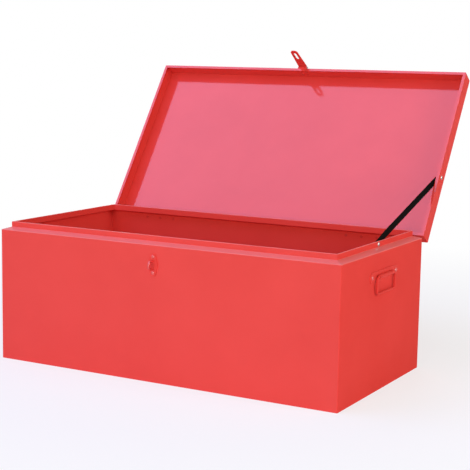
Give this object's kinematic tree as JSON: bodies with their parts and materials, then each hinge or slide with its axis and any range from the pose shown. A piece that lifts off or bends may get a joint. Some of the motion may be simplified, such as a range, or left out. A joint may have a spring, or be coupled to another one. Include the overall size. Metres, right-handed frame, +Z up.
{
  "type": "steel storage chest",
  "caption": "Rectangular sheet-steel storage chest with a hinged lid held open by a webbing stay, a hasp and staple for a padlock, and drop handles on the ends.",
  "frame": {"origin": "middle of the flat underside", "axes": "+Z up, -Y to the front with the staple, +X to the end with the lid stay"},
  "size_m": [1.022, 0.8799, 0.8419],
  "materials": {
    "red_enamel": "glossy red stoving enamel on steel sheet",
    "zinc_steel": "zinc-plated steel",
    "black_webbing": "black woven polypropylene webbing"
  },
  "bodies": {
    "chest": {"back_panel": "red_enamel", "floor_pan": "red_enamel", "front_panel": "red_enamel", "handle_plate_left": "red_enamel", "handle_plate_right": "red_enamel", "handle_rivets_left": "red_enamel", "handle_rivets_right": "red_enamel", "hinge_body_leaf_left": "red_enamel", "hinge_body_leaf_right": "red_enamel", "hinge_body_rivets": "red_enamel", "hinge_pin_left": "zinc_steel", "hinge_pin_right": "zinc_steel", "left_panel": "red_enamel", "lid_strap": "black_webbing", "right_panel": "red_enamel", "staple_eye": "red_enamel", "staple_plate": "red_enamel", "staple_rivets": "red_enamel", "strap_low_rivet": "zinc_steel", "strap_low_washer": "zinc_steel"},
    "lid": {"lid_pan": "red_enamel", "hinge_lid_leaf_left": "red_enamel", "hinge_lid_leaf_right": "red_enamel", "hinge_lid_rivets": "red_enamel", "hasp_leaf": "red_enamel", "hasp_pin": "zinc_steel", "hasp_rivets": "red_enamel", "strap_high_rivet": "zinc_steel", "strap_high_washer": "zinc_steel"},
    "hasp": {"hasp_tongue": "red_enamel"},
    "left_bail": {"handle_bail_left": "red_enamel"},
    "right_bail": {"handle_bail_right": "red_enamel"}
  },
  "joints": [
    {"name": "lid_hinge", "type": "hinge", "parent": "chest", "child": "lid", "pos_m": [0, 0.265, 0.355], "axis": [1, 0, 0], "range_deg": [0, 124], "deforming": ["lid_strap"]},
    {"name": "hasp_hinge", "type": "hinge", "parent": "lid", "child": "hasp", "pos_m": [-0.015, 0.56607, 0.79062], "axis": [-1, 0, 0], "range_deg": [0, 140]},
    {"name": "right_bail_hinge", "type": "hinge", "parent": "chest", "child": "right_bail", "pos_m": [0.5065, 0, 0.294], "axis": [0, -1, 0], "range_deg": [0, 180]},
    {"name": "left_bail_hinge", "type": "hinge", "parent": "chest", "child": "left_bail", "pos_m": [-0.5065, 0, 0.294], "axis": [0, 1, 0], "range_deg": [0, 180]}
  ]
}
